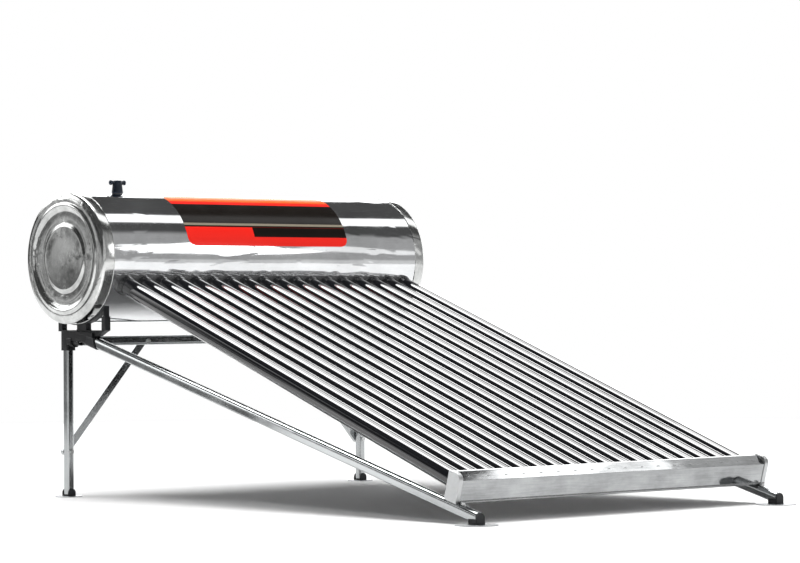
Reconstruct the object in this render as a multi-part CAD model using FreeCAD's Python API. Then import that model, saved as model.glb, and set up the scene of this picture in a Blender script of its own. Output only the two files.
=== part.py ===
import FreeCAD, Part
import math
import os

# Free-standing evacuated-tube solar water heater, in millimetres.
# +X runs along the storage tank, -Y is the collector (sunny) side, +Z is up.
# The origin is on the ground, at the centre of the object's footprint.

V = FreeCAD.Vector

# ---- driving dimensions: storage tank ----
TANK_RADIUS = 220.0          # over the hems of the end caps
TANK_LENGTH = 1428.0         # over the end caps
TANK_AXIS_Z = 798.0
SHEET = 0.8                  # outer sheet steel
CAP_SKIRT_WIDTH = 50.0
CAP_EDGE_RADIUS = 12.0
CAP_BEAD_RADIUS = 176.0
CAP_BEAD_HEIGHT = 4.0
CAP_BEAD_HALF = 9.0
CAP_BEAD_SHOULDER = 3.2      # height of the bead 3 mm either side of its crest
CAP_FLOOR_RADIUS = 146.0
CAP_DISC_RADIUS = 108.0
CAP_RECESS = 5.0
CAP_CROWN = 3.0
HEM_WIDTH = 4.0
INNER_RADIUS = 180.0
INNER_WALL = 1.2
INNER_LENGTH = 1338.0

# ---- driving dimensions: evacuated tubes ----
TUBE_COUNT = 18
TUBE_PITCH = 72.0
TUBE_LENGTH = 1800.0
TUBE_RADIUS = 29.0
TUBE_WALL = 1.8
ABSORBER_RADIUS = 23.5
ABSORBER_WALL = 1.6
TUBE_SLOPE = 20.0
TUBE_DROP = 15.6             # tube axes pass this far below the tank axis
TUBE_MOUTH = 165.0           # from the tank axis to the open end, along a tube
GETTER_PLACE = 60.0          # from the closed end
GETTER_WIDTH = 12.0
CUP_DEPTH = 14.0
CUP_WALL = 2.5
RING_RADIUS = 35.2
RING_STAND = 9.0
RING_NECK_RADIUS = 33.2
RING_LIP_RADIUS = 30.4
RING_NECK = 18.0             # tapered sleeve beyond the flange

# ---- driving dimensions: frame ----
FRAME_HALF_WIDTH = 648.0     # centre plane of legs and rails
RAIL_SIZE = 32.0
RAIL_TOP_CORNER = 14.0       # the rail is almost half-round on top
RAIL_CORNER = 5.0
RAIL_SLOPE = 15.06
RAIL_AXIS_Z = 543.5          # rail centre line below the tank axis
RAIL_START = 38.0            # upper end, along the rail
LEG_SIZE = 28.0
LEG_CORNER = 8.0
LEG_OFFSET = 67.0            # legs stand this far behind the tank axis
FRONT_FOOT_OFFSET = 1928.0   # front feet, in front of the tank axis
WALL = 1.5
CROSSBAR_Z = 521.0
CROSSBAR_HEIGHT = 32.0
BRACE_TOP_X = 322.0
BRACE_TOP_Z = 517.0
BRACE_FOOT_Z = 151.0
BRACE_DEPTH = 14.0

# ---- driving dimensions: saddle brackets (Y places are from the tank axis, to the rear) ----
DECK_TOP_Z = 558.0
DECK_BOTTOM_Z = 538.0
POST_WIDTH = 21.0            # deck, posts and cradle, along X
REAR_POST = (88.0, 108.0)
REAR_POST_BOTTOM_Z = 554.0
MIDDLE_POST = (-48.0, 3.0)
MIDDLE_POST_FLARE = 4.0
FRONT_CLIP = (-155.0, -134.0)
FRONT_CLIP_TOP_Z = 604.0
HOOK = (-149.0, -143.0)
MIDDLE_POST_TOP_Z = 584.0
REAR_POST_TOP_Z = 638.0
HOOK_TOP_Z = 658.0
CRADLE_THICKNESS = 5.0
LEG_SOCKET_WALL = 3.8
LEG_SOCKET_BOTTOM_Z = 490.0
LEG_SOCKET_CORNER = 4.0
RAIL_SOCKET_WALL = 2.6
RAIL_SOCKET_END = (-91.0, -112.0)   # slanted mouth: upper and lower edge
BOSS_Z = 521.0
BOSS_FLANGE = 40.0           # across the flats of the octagon
BOSS_FLANGE_END = 27.0
BOSS_BARREL_RADIUS = 14.5
BOSS_BARREL_END = -7.0
BOLT_RECESS = 14.0

# ---- driving dimensions: feet ----
FRONT_DISC_RADIUS = 64.0
REAR_DISC_RADIUS = 45.0
DISC_SHEET = 2.2
DISC_GAP = 0.3
FRONT_FOOT_WIDTH = 34.0
FRONT_FOOT_DEPTH = 36.0
FRONT_FOOT_TOP_Z = 37.0
FRONT_FOOT_NOSE = 6.5        # end wall in front of the rail
FRONT_FOOT_BLOCK_Z = 19.0
REAR_FOOT_WIDTH = 29.0
REAR_FOOT_EAR = 4.2          # thickness of the two arched ears
REAR_FOOT_BASE = 6.0
REAR_FOOT_TOP_Z = 28.0
FOOT_SCREW_RADIUS = 4.0
FOOT_SCREW_HEAD = 5.8

# ---- driving dimensions: tail tray ----
TRAY_HALF_LENGTH = 668.0
TRAY_BACK = 1874.0           # along the rail, from below the tank axis
TRAY_DEPTH = 46.0
TRAY_FRONT_HEIGHT = 68.5
TRAY_BACK_HEIGHT = 86.0
TRAY_SHEET = 1.0
TRAY_HEM = 4.0
TRAY_BOLT_REACH = 13.5       # bolt centres in front of the tray
TRAY_END_SKIRT = 14.0
TRAY_END_MARGIN = 2.4
TRAY_END_CORNER = 20.0
TRAY_END_BACK_CORNER = 4.0

# ---- driving dimensions: vent, pipes, label ----
VENT_X = -490.0
VENT_RADIUS = 19.0
VENT_HEIGHT = 44.0
VENT_LUG_SPAN = 60.0
VENT_STEM_RADIUS = 10.0
VENT_STEM_HEIGHT = 22.0
VENT_AIRWAY = 3.2
VENT_LUG_RADIUS = 6.5
VENT_LUG_RIM = 8.0
PORT_X = 350.0
PORT_DROP_ANGLE = 40.0       # ports point backwards and this far below level
PORT_RADIUS = 13.2
PORT_BORE = 9.0
PORT_REACH = 262.0
PORT_COLLAR_RADIUS = 15.0    # plain pipe behind the thread
PORT_THREAD = 36.0
LABEL_HALF_LENGTH = 352.0
LABEL_TOP = 76.0
LABEL_BOTTOM = 11.0
LABEL_CORNER = 30.0
LABEL_THICKNESS = 0.3

# ---- derived places ----
TANK_Y = (FRONT_FOOT_OFFSET + FRONT_DISC_RADIUS - TANK_RADIUS) / 2
LEG_Y = TANK_Y + LEG_OFFSET
FRONT_FOOT_Y = TANK_Y - FRONT_FOOT_OFFSET
SHELL_RADIUS = TANK_RADIUS - 2 * SHEET - 0.2
SHELL_INNER = SHELL_RADIUS - SHEET
SHELL_END = TANK_LENGTH / 2 - CAP_EDGE_RADIUS - 2
TUBE_TAIL = TUBE_MOUTH + TUBE_LENGTH
FOOT_Z = DISC_SHEET + DISC_GAP
RING_GAP = 0.05              # slip fit of rubber on glass
FIRST_TUBE_X = -TUBE_PITCH * (TUBE_COUNT - 1) / 2

LEG_TOP_Z = DECK_TOP_Z - 4
CROSSBAR_END_X = FRAME_HALF_WIDTH - LEG_SIZE / 2 - LEG_SOCKET_WALL - 0.2
VENT_BASE_Z = SHELL_RADIUS + 2.0
RAIL_END = FRONT_FOOT_OFFSET / math.cos(math.radians(RAIL_SLOPE)) + 30
FOOT_FRONT_Y = FRONT_FOOT_Y - FRONT_FOOT_DEPTH / 2
FOOT_BACK_Y = FRONT_FOOT_Y + FRONT_FOOT_DEPTH / 2

BOLT_RADIUS = 4.0
BOLT_HEAD = 13.0             # across the flats
BOLT_HEAD_HEIGHT = 5.3
BOLT_WASHER_RADIUS = 9.0
BOLT_WASHER = 1.5
BOLT_CLEARANCE = 0.25
PIPE_CLEARANCE = 0.3
NUT_HEIGHT = 6.5
BOLT_TAIL = 8.0              # nut and free thread beyond the last part
FAR = 400.0                  # well beyond whatever a cutting solid trims


# ---- frames and simple solids ----
def slope_frame(angle, y, z):
    """Local x stays X, local y is up from the slope, local z runs downhill to -Y."""
    a = math.radians(angle)
    down = V(0, -math.cos(a), -math.sin(a))
    up = V(0, -math.sin(a), math.cos(a))
    return FreeCAD.Placement(V(0, y, z), FreeCAD.Rotation(V(1, 0, 0), up, down, "ZXY"))


TUBE_AXIS_Y = TANK_Y + TUBE_DROP * math.sin(math.radians(TUBE_SLOPE))
TUBE_AXIS_Z = TANK_AXIS_Z - TUBE_DROP * math.cos(math.radians(TUBE_SLOPE))
TUBE_FRAME = slope_frame(TUBE_SLOPE, TUBE_AXIS_Y, TUBE_AXIS_Z)
RAIL_FRAME = slope_frame(RAIL_SLOPE, TANK_Y, RAIL_AXIS_Z)


def placed(shape, placement):
    out = shape.copy()
    out.Placement = placement.multiply(out.Placement)
    return out


def moved(shape, x=0.0, y=0.0, z=0.0):
    out = shape.copy()
    out.translate(V(x, y, z))
    return out


def box(x0, x1, y0, y1, z0, z1):
    return Part.makeBox(x1 - x0, y1 - y0, z1 - z0, V(x0, y0, z0))


def rod(radius, start, end):
    return Part.makeCylinder(radius, (end - start).Length, start, end - start)


def along_x(radius, x0, x1):
    return rod(radius, V(x0, TANK_Y, TANK_AXIS_Z), V(x1, TANK_Y, TANK_AXIS_Z))


def fuse(shapes):
    return shapes[0].multiFuse(shapes[1:]).removeSplitter()


def prism(points, direction):
    """Closed polygon swept along a vector."""
    wire = Part.makePolygon(points + [points[0]])
    return Part.Face(wire).extrude(direction)


def rounded_rectangle(width, height, radius, top_radius=None):
    """Rounded rectangle in the local XY plane, centred on the origin."""
    w = width / 2
    h = height / 2
    edges = []
    for sx, sy in ((1, 1), (-1, 1), (-1, -1), (1, -1)):
        r = top_radius if top_radius and sy > 0 else radius
        k = r * (1 - math.sqrt(0.5))
        a = V(sx * w, sy * (h - r), 0)
        b = V(sx * (w - k), sy * (h - k), 0)
        c = V(sx * (w - r), sy * h, 0)
        if sx * sy < 0:
            a, c = c, a
        edges.append(Part.Arc(a, b, c).toShape())
    sides = []
    for here, after in zip(edges, edges[1:] + edges[:1]):
        sides.append(here)
        sides.append(Part.LineSegment(here.Vertexes[-1].Point, after.Vertexes[0].Point).toShape())
    return Part.Wire(sides)


def bar(width, height, radius, length, top_radius=None):
    """Solid bar of that section, along local +Z."""
    face = Part.Face(rounded_rectangle(width, height, radius, top_radius))
    return face.extrude(V(0, 0, length))


def leg_profile(width, height, length):
    """Roll-formed closed profile of the legs and crossbar, along local +Z."""
    outside = bar(width, height, LEG_CORNER, length)
    return outside.cut(bar(width - 2 * WALL, height - 2 * WALL, LEG_CORNER - WALL, length))


def rail_bar(shrink, length):
    """Rail section made smaller by a margin all round, as a solid along local +Z."""
    size = RAIL_SIZE - 2 * shrink
    return bar(size, size, RAIL_CORNER - shrink, length, RAIL_TOP_CORNER - shrink)


def revolved(points, axis_point, axis):
    """Closed (radius, height) outline turned about an axis through axis_point."""
    corners = [V(r, 0, h) for r, h in points]
    wire = Part.makePolygon(corners + [corners[0]])
    solid = Part.Face(wire).revolve(V(0, 0, 0), V(0, 0, 1), 360)
    solid.Placement = FreeCAD.Placement(axis_point, FreeCAD.Rotation(V(0, 0, 1), axis))
    return solid


def hex_prism(across_flats, start, axis, height):
    radius = across_flats / math.sqrt(3)
    turn = FreeCAD.Rotation(V(0, 0, 1), axis)
    corners = []
    for i in range(6):
        a = math.radians(60 * i + 30)
        corners.append(start + turn.multVec(V(radius * math.cos(a), radius * math.sin(a), 0)))
    return prism(corners, axis * height)


def hex_bolt(start, axis, length):
    """Hexagon-head bolt: head behind start, shank of the given length along axis."""
    washer = Part.makeCylinder(BOLT_WASHER_RADIUS, BOLT_WASHER, start - axis * BOLT_WASHER, axis)
    behind = BOLT_WASHER + BOLT_HEAD_HEIGHT
    head = hex_prism(BOLT_HEAD, start - axis * behind, axis, BOLT_HEAD_HEIGHT)
    shank = Part.makeCylinder(BOLT_RADIUS, length, start, axis)
    return fuse([washer, head, shank])


def hex_nut(start, axis):
    """Nut whose near face is at start, on a bolt that runs along axis."""
    nut = hex_prism(BOLT_HEAD, start, axis, NUT_HEIGHT)
    return nut.cut(Part.makeCylinder(BOLT_RADIUS + 0.02, NUT_HEIGHT, start, axis))


def mirror_x(shape):
    return shape.mirror(V(0, 0, 0), V(1, 0, 0))


def tube_places():
    return [FIRST_TUBE_X + i * TUBE_PITCH for i in range(TUBE_COUNT)]


def along_tube(radius, start, end):
    """Plain cylinder in the tube frame."""
    return rod(radius, V(0, 0, start), V(0, 0, end))


def at_tubes(shape):
    """One copy of a tube-frame shape for each tube."""
    return [placed(moved(shape, x=x), TUBE_FRAME) for x in tube_places()]


def at_x(shape):
    """One copy for each tube of a shape that is already on the tube at X = 0."""
    return [moved(shape, x=x) for x in tube_places()]


# ---- pipes and vent stem places ----
PORT_AXIS = V(0, math.cos(math.radians(PORT_DROP_ANGLE)), -math.sin(math.radians(PORT_DROP_ANGLE)))
AXIS_POINT = V(0, TANK_Y, TANK_AXIS_Z)


def port_rod(side, radius, start, end):
    base = AXIS_POINT + V(side * PORT_X, 0, 0)
    return rod(radius, base + PORT_AXIS * start, base + PORT_AXIS * end)


def vent_rod(radius, start, end):
    base = AXIS_POINT + V(VENT_X, 0, 0)
    return rod(radius, base + V(0, 0, start), base + V(0, 0, end))


# ---- storage tank ----
def tank_shell():
    shell = along_x(SHELL_RADIUS, -SHELL_END, SHELL_END).cut(along_x(SHELL_INNER, -SHELL_END, SHELL_END))
    holes = at_tubes(along_tube(TUBE_RADIUS + 1.5, SHELL_INNER - 30, SHELL_RADIUS + 10))
    holes.append(vent_rod(VENT_STEM_RADIUS + PIPE_CLEARANCE, SHELL_INNER - 10, SHELL_RADIUS + 10))
    for side in (-1, 1):
        holes.append(port_rod(side, PORT_COLLAR_RADIUS + 3, SHELL_INNER - 10, SHELL_RADIUS + 10))
    return shell.cut(holes)


def end_cap_outline():
    """Outline (radius, height above the skirt edge) of the pressed cap, outside then inside."""
    outer = SHELL_RADIUS + SHEET
    face = CAP_SKIRT_WIDTH
    r = CAP_EDGE_RADIUS
    outside = [(TANK_RADIUS, 0), (TANK_RADIUS, HEM_WIDTH), (outer, HEM_WIDTH + 1)]
    for i in range(7):
        a = math.radians(15 * i)
        outside.append((outer - r * (1 - math.cos(a)), face - r * (1 - math.sin(a))))
    outside += [
        (CAP_BEAD_RADIUS + CAP_BEAD_HALF, face),
        (CAP_BEAD_RADIUS + 3, face + CAP_BEAD_SHOULDER),
        (CAP_BEAD_RADIUS, face + CAP_BEAD_HEIGHT),
        (CAP_BEAD_RADIUS - 3, face + CAP_BEAD_SHOULDER),
        (CAP_BEAD_RADIUS - CAP_BEAD_HALF, face - 1),
        (CAP_FLOOR_RADIUS, face - CAP_RECESS),
        (CAP_DISC_RADIUS + 8, face - CAP_RECESS),
        (CAP_DISC_RADIUS + 2, face - 1),
        (CAP_DISC_RADIUS - 4, face),
        (CAP_DISC_RADIUS / 2, face + CAP_CROWN - 1),
        (0, face + CAP_CROWN),
    ]
    pressed = [(radius, height - SHEET) for radius, height in outside if radius < SHELL_RADIUS - 0.5]
    return outside + pressed[::-1] + [(SHELL_RADIUS, face - r), (SHELL_RADIUS, 0)]


def end_cap(side):
    skirt = V(side * (TANK_LENGTH / 2 - CAP_SKIRT_WIDTH), TANK_Y, TANK_AXIS_Z)
    return revolved(end_cap_outline(), skirt, V(side, 0, 0))


def inner_tank():
    half = INNER_LENGTH / 2
    outside = along_x(INNER_RADIUS, -half, half)
    inside = along_x(INNER_RADIUS - INNER_WALL, -half + INNER_WALL, half - INNER_WALL)
    cuts = [inside] + at_tubes(along_tube(TUBE_RADIUS + 2, TUBE_MOUTH - 40, INNER_RADIUS + 20))
    cuts.append(vent_rod(VENT_STEM_RADIUS, INNER_RADIUS - 10, INNER_RADIUS + 10))
    for side in (-1, 1):
        cuts.append(port_rod(side, PORT_COLLAR_RADIUS, INNER_RADIUS - 10, INNER_RADIUS + 10))
    return outside.cut(cuts)


def tank_insulation():
    half = INNER_LENGTH / 2
    foam = along_x(SHELL_INNER, -SHELL_END, SHELL_END).cut(along_x(INNER_RADIUS, -half, half))
    holes = at_tubes(along_tube(TUBE_RADIUS + 6, TUBE_MOUTH - 5, SHELL_RADIUS + 20))
    holes.append(vent_rod(VENT_STEM_RADIUS, INNER_RADIUS - 10, SHELL_RADIUS + 10))
    for side in (-1, 1):
        holes.append(port_rod(side, PORT_COLLAR_RADIUS + 3, INNER_RADIUS - 10, SHELL_RADIUS + 10))
    return foam.cut(holes)


def tube_seal():
    """Silicone grommet: a sleeve through the inner wall with a flange on its outside."""
    flange = along_tube(TUBE_RADIUS + 5, TUBE_MOUTH - 20, INNER_RADIUS + 5)
    flange = placed(flange, TUBE_FRAME).cut(along_x(INNER_RADIUS, -INNER_RADIUS, INNER_RADIUS))
    sleeve = placed(along_tube(TUBE_RADIUS + 2, TUBE_MOUTH + 4, INNER_RADIUS + 5), TUBE_FRAME)
    bore = placed(along_tube(TUBE_RADIUS + RING_GAP, TUBE_MOUTH - 30, INNER_RADIUS + 30), TUBE_FRAME)
    return fuse([flange, sleeve]).cut(bore)


def dust_ring():
    """Rubber ring round the tube: a flange seated on the curved shell and a tapered sleeve."""
    top = SHELL_RADIUS + RING_STAND
    neck = Part.makeCone(RING_NECK_RADIUS, RING_LIP_RADIUS, RING_NECK + 1, V(0, 0, top - 1), V(0, 0, 1))
    ring = along_tube(RING_RADIUS, SHELL_RADIUS - 30, top)
    rim = [e for e in ring.Edges if e.BoundBox.ZMin > top - 0.1 and e.BoundBox.XLength > RING_RADIUS]
    ring = placed(fuse([ring.makeFillet(2.0, rim), neck]), TUBE_FRAME)
    ring = ring.cut(along_x(SHELL_RADIUS, -INNER_RADIUS, INNER_RADIUS))
    bore = along_tube(TUBE_RADIUS + RING_GAP, SHELL_RADIUS - 60, top + RING_NECK + 1)
    return ring.cut(placed(bore, TUBE_FRAME))


def tank_label():
    """Thin rectangular sticker with rounded corners that wraps the sunny side of the shell."""
    skin = along_x(SHELL_RADIUS + LABEL_THICKNESS, -LABEL_HALF_LENGTH, LABEL_HALF_LENGTH)
    skin = skin.cut(along_x(SHELL_RADIUS, -LABEL_HALF_LENGTH, LABEL_HALF_LENGTH))
    middle = math.radians((LABEL_TOP + LABEL_BOTTOM) / 2)
    chord = 2 * SHELL_RADIUS * math.sin(math.radians(LABEL_TOP - LABEL_BOTTOM) / 2)
    outline = bar(2 * LABEL_HALF_LENGTH, chord, LABEL_CORNER, SHELL_RADIUS + 50)
    outward = V(0, -math.cos(middle), math.sin(middle))
    upward = V(0, math.sin(middle), math.cos(middle))
    turn = FreeCAD.Rotation(V(1, 0, 0), upward, outward, "ZXY")
    return skin.common(placed(outline, FreeCAD.Placement(AXIS_POINT, turn)))


# ---- evacuated tubes ----
def capsule(radius, mouth, tail):
    """Cylinder from mouth to a hemispherical tail, in the tube frame."""
    body = along_tube(radius, mouth, tail - radius)
    return fuse([body, Part.makeSphere(radius, V(0, 0, tail - radius))])


def vacuum_tube():
    """Two glass tubes, one in the other, fused at the mouth with a vacuum between them."""
    glass = capsule(TUBE_RADIUS, TUBE_MOUTH, TUBE_TAIL)
    absorber_tail = TUBE_TAIL - (TUBE_RADIUS - ABSORBER_RADIUS) - 6
    water = capsule(ABSORBER_RADIUS - ABSORBER_WALL, TUBE_MOUTH - 1, absorber_tail - ABSORBER_WALL)
    vacuum = capsule(TUBE_RADIUS - TUBE_WALL, TUBE_MOUTH + 4, TUBE_TAIL - TUBE_WALL)
    vacuum = vacuum.cut(capsule(ABSORBER_RADIUS, TUBE_MOUTH, absorber_tail))
    return glass.cut(vacuum).cut(water)


def getter_clip():
    """Spring ring that centres the tail of the inner glass in the vacuum gap."""
    start = TUBE_TAIL - GETTER_PLACE
    outside = along_tube(TUBE_RADIUS - TUBE_WALL - 0.1, start, start + GETTER_WIDTH)
    return outside.cut(along_tube(ABSORBER_RADIUS + 0.1, start, start + GETTER_WIDTH))


def tail_cup():
    """Plastic cup that carries the closed end of a tube inside the tray."""
    cup = along_tube(TUBE_RADIUS + CUP_WALL, TUBE_TAIL - CUP_DEPTH, TUBE_TAIL + 4)
    return cup.cut(capsule(TUBE_RADIUS + RING_GAP, TUBE_MOUTH, TUBE_TAIL + RING_GAP))


# ---- tail tray, in the rail frame (x, up, downhill) ----
def tray_section(grow):
    """Tray outline grown by a margin, as (up, downhill) points."""
    base = RAIL_SIZE / 2 + (0 if grow >= 0 else -grow)
    back = TRAY_BACK - grow
    front = TRAY_BACK + TRAY_DEPTH + grow
    top_back = RAIL_SIZE / 2 + TRAY_BACK_HEIGHT + grow
    top_front = RAIL_SIZE / 2 + TRAY_FRONT_HEIGHT + grow
    return [(base, back), (top_back, back), (top_back, back + 8), (top_front, front), (base, front)]


def tray_prism(grow, x0, x1):
    points = [V(x0, v, u) for v, u in tray_section(grow)]
    return prism(points, V(x1 - x0, 0, 0))


def tail_tray():
    """Closed sheet-metal channel with a rolled hem along its lower front edge."""
    half = TRAY_HALF_LENGTH
    tray = tray_prism(0, -half, half).cut(tray_prism(-TRAY_SHEET, -half - 1, half + 1))
    base = RAIL_SIZE / 2
    front = TRAY_BACK + TRAY_DEPTH
    hem = rod(TRAY_HEM, V(-half, base + TRAY_HEM, front), V(half, base + TRAY_HEM, front))
    hem = hem.cut(tray_prism(0, -half - 1, half + 1))
    tray = placed(fuse([tray, hem]), RAIL_FRAME)
    hole = along_tube(TUBE_RADIUS + CUP_WALL + DISC_GAP, TUBE_TAIL - 60, TUBE_TAIL + 12)
    return tray.cut(at_tubes(hole))


def tray_end_solid(grow, x0, x1):
    """Prism with the end cap's outline: square to the rail, with a large upper front corner."""
    base = RAIL_SIZE / 2
    back = TRAY_BACK - grow
    front = TRAY_BACK + TRAY_DEPTH + grow
    top = base + TRAY_BACK_HEIGHT + grow
    points = [V(x0, base, back), V(x0, top, back), V(x0, top, front), V(x0, base, front)]
    solid = prism(points, V(x1 - x0, 0, 0))
    upper = [e for e in solid.Edges if e.BoundBox.XLength > (x1 - x0) / 2 and e.BoundBox.YMin > base + 1]
    upper_front = [e for e in upper if e.BoundBox.ZMin > back + 1]
    upper_back = [e for e in upper if e.BoundBox.ZMin < back + 1]
    solid = solid.makeFillet(TRAY_END_CORNER + grow, upper_front)
    return solid.makeFillet(TRAY_END_BACK_CORNER + grow, upper_back)


def tray_end(side):
    """Sheet cap over the end of the tray: end plate, skirt, and a web that closes on the tray."""
    inner_x = TRAY_HALF_LENGTH + 0.1
    start_x = inner_x - TRAY_END_SKIRT
    cap = tray_end_solid(TRAY_END_MARGIN, start_x, inner_x + TRAY_SHEET)
    room = tray_end_solid(TRAY_END_MARGIN - TRAY_SHEET, start_x + TRAY_SHEET, inner_x)
    hem_y = RAIL_SIZE / 2 + TRAY_HEM
    hem_z = TRAY_BACK + TRAY_DEPTH
    hem = rod(TRAY_HEM + 0.3, V(start_x - 1, hem_y, hem_z), V(inner_x, hem_y, hem_z))
    cap = placed(cap.cut([room, tray_prism(0.05, start_x - 1, inner_x), hem]), RAIL_FRAME)
    return cap if side > 0 else mirror_x(cap)


# ---- frame ----
def tray_bolt_places():
    return [(side * FRAME_HALF_WIDTH, TRAY_BACK + TRAY_DEPTH + TRAY_BOLT_REACH) for side in (-1, 1)]


def bolt_axes():
    """Bolts along Y, as (x, z, start y, length): brace foot, brace top and bracket on each side."""
    front = LEG_Y - LEG_SIZE / 2
    through_brace = LEG_SIZE + BRACE_DEPTH + BOLT_TAIL
    boss_front = TANK_Y + BOSS_BARREL_END + BOLT_RECESS
    through_leg = front + LEG_SIZE + LEG_SOCKET_WALL - boss_front + BOLT_TAIL
    axes = []
    for side in (-1, 1):
        axes.append((side * FRAME_HALF_WIDTH, BRACE_FOOT_Z, front, through_brace))
        axes.append((side * BRACE_TOP_X, BRACE_TOP_Z, front, through_brace))
        axes.append((side * FRAME_HALF_WIDTH, BOSS_Z, boss_front, through_leg))
    return axes


def frame_bolts():
    return [hex_bolt(V(x, y, z), V(0, 1, 0), length) for x, z, y, length in bolt_axes()]


def frame_nuts():
    return [hex_nut(V(x, y + length - BOLT_TAIL, z), V(0, 1, 0)) for x, z, y, length in bolt_axes()]


def tray_bolts():
    """Set screws with flanged heads that hold the tray hem down on the rails."""
    screws = []
    for x, u in tray_bolt_places():
        start = V(x, RAIL_SIZE / 2 + 1.5, u)
        screws.append(placed(hex_bolt(start, V(0, -1, 0), 14.0), RAIL_FRAME))
    return screws


def drilled(shape):
    """Shape with a clearance hole for every bolt of the frame."""
    holes = []
    for x, z, y, length in bolt_axes():
        holes.append(rod(BOLT_RADIUS + BOLT_CLEARANCE, V(x, y - 1, z), V(x, y + length + 1, z)))
    return shape.cut(holes)


def side_rail(side):
    """Sloping rail from the bracket socket down onto the front foot."""
    length = RAIL_END - RAIL_START
    rail = moved(rail_bar(0, length).cut(rail_bar(WALL, length)), z=RAIL_START)
    u = tray_bolt_places()[1][1]
    hole = rod(BOLT_RADIUS + BOLT_CLEARANCE, V(0, 0, u), V(0, RAIL_SIZE, u))
    rail = placed(moved(rail.cut(hole), x=side * FRAME_HALF_WIDTH), RAIL_FRAME)
    beyond = box(-FAR * 2, FAR * 2, FOOT_FRONT_Y - FAR, FOOT_FRONT_Y + FRONT_FOOT_NOSE, -FAR, FAR)
    under = box(-FAR * 2, FAR * 2, FOOT_FRONT_Y - FAR, FOOT_BACK_Y, -FAR, FRONT_FOOT_BLOCK_Z)
    return rail.cut([beyond, under])


def rear_leg(side):
    bottom = FOOT_Z + REAR_FOOT_BASE
    leg = leg_profile(LEG_SIZE, LEG_SIZE, LEG_TOP_Z - bottom)
    return drilled(moved(leg, side * FRAME_HALF_WIDTH, LEG_Y, bottom))


def rear_crossbar():
    beam = leg_profile(CROSSBAR_HEIGHT, LEG_SIZE, 2 * CROSSBAR_END_X)
    beam.rotate(V(0, 0, 0), V(0, 1, 0), 90)
    return drilled(moved(beam, -CROSSBAR_END_X, LEG_Y, CROSSBAR_Z))


def rear_brace(side):
    """Diagonal channel brace behind the legs, with rounded ends."""
    y0 = LEG_Y + LEG_SIZE / 2
    foot = V(FRAME_HALF_WIDTH, y0, BRACE_FOOT_Z)
    top = V(BRACE_TOP_X, y0, BRACE_TOP_Z)
    run = top - foot
    width = LEG_SIZE / 2 - 1
    across = V(0, 1, 0).cross(run).normalize() * width
    depth = V(0, BRACE_DEPTH, 0)
    plate = prism([foot - across, top - across, top + across, foot + across], depth)
    ends = [Part.makeCylinder(width, BRACE_DEPTH, p, V(0, 1, 0)) for p in (foot, top)]
    brace = fuse([plate] + ends)
    inner = across * ((width - WALL) / width)
    back = V(0, WALL, 0)
    ease = run.normalize() * (1.6 * width)
    channel = prism([foot + ease - inner + back, top - ease - inner + back,
                     top - ease + inner + back, foot + ease + inner + back], depth)
    brace = drilled(brace.cut(channel))
    return brace if side > 0 else mirror_x(brace)


# ---- plastic saddle brackets ----
def behind_axis(y):
    return TANK_Y + y


def saddle_posts():
    """Deck, three posts and the thin cradle that carry the tank, centred on X = 0."""
    half = POST_WIDTH / 2
    flare = MIDDLE_POST_FLARE
    rear_y, rear_end = [behind_axis(y) for y in REAR_POST]
    middle_y, middle_end = [behind_axis(y) for y in MIDDLE_POST]
    clip_y, clip_end = [behind_axis(y) for y in FRONT_CLIP]
    hook_y, hook_end = [behind_axis(y) for y in HOOK]
    gusset_y = behind_axis(RAIL_SOCKET_END[1])
    rear = box(-half, half, rear_y, rear_end, REAR_POST_BOTTOM_Z, REAR_POST_TOP_Z)
    clip = box(-half, half, clip_y, clip_end, DECK_TOP_Z, FRONT_CLIP_TOP_Z)
    hook = box(-half, half, hook_y, hook_end, FRONT_CLIP_TOP_Z - 2, HOOK_TOP_Z)
    middle_side = [(middle_y - flare, DECK_TOP_Z - 1), (middle_end + flare, DECK_TOP_Z - 1),
                   (middle_end, DECK_TOP_Z + flare), (middle_end, MIDDLE_POST_TOP_Z),
                   (middle_y, MIDDLE_POST_TOP_Z), (middle_y, DECK_TOP_Z + flare)]
    deck_side = [(rear_y, DECK_BOTTOM_Z), (gusset_y, DECK_BOTTOM_Z), (clip_y + 12, DECK_TOP_Z - 5),
                 (clip_y, DECK_TOP_Z - 0.5), (clip_y, DECK_TOP_Z + 2), (clip_y + 8, DECK_TOP_Z + 2),
                 (clip_y + 8, DECK_TOP_Z), (rear_y, DECK_TOP_Z)]
    middle = prism([V(-half, y, z) for y, z in middle_side], V(POST_WIDTH, 0, 0))
    deck = prism([V(-half, y, z) for y, z in deck_side], V(POST_WIDTH, 0, 0))
    arc = along_x(SHELL_RADIUS + CRADLE_THICKNESS, -half, half)
    arc = arc.common(box(-half, half, hook_y, rear_end, DECK_TOP_Z, TANK_AXIS_Z))
    return fuse([rear, middle, clip, hook, deck, arc])


def rail_socket(grow, start, end):
    size = RAIL_SIZE + 2 * grow
    socket = bar(size, size, RAIL_CORNER + grow, end - start, RAIL_TOP_CORNER)
    return placed(moved(socket, z=start), RAIL_FRAME)


def bracket_boss():
    """Octagonal flange and a round barrel on the front of the leg socket."""
    start = LEG_Y - LEG_SIZE / 2 - LEG_SOCKET_WALL + 1
    flange_end = behind_axis(BOSS_FLANGE_END)
    barrel_end = behind_axis(BOSS_BARREL_END)
    radius = BOSS_FLANGE / 2 / math.cos(math.radians(22.5))
    corners = []
    for i in range(8):
        a = math.radians(45 * i + 22.5)
        corners.append(V(radius * math.cos(a), start, BOSS_Z + radius * math.sin(a)))
    flange = prism(corners, V(0, flange_end - start, 0))
    return fuse([flange, rod(BOSS_BARREL_RADIUS, V(0, start, BOSS_Z), V(0, barrel_end, BOSS_Z))])


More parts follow.
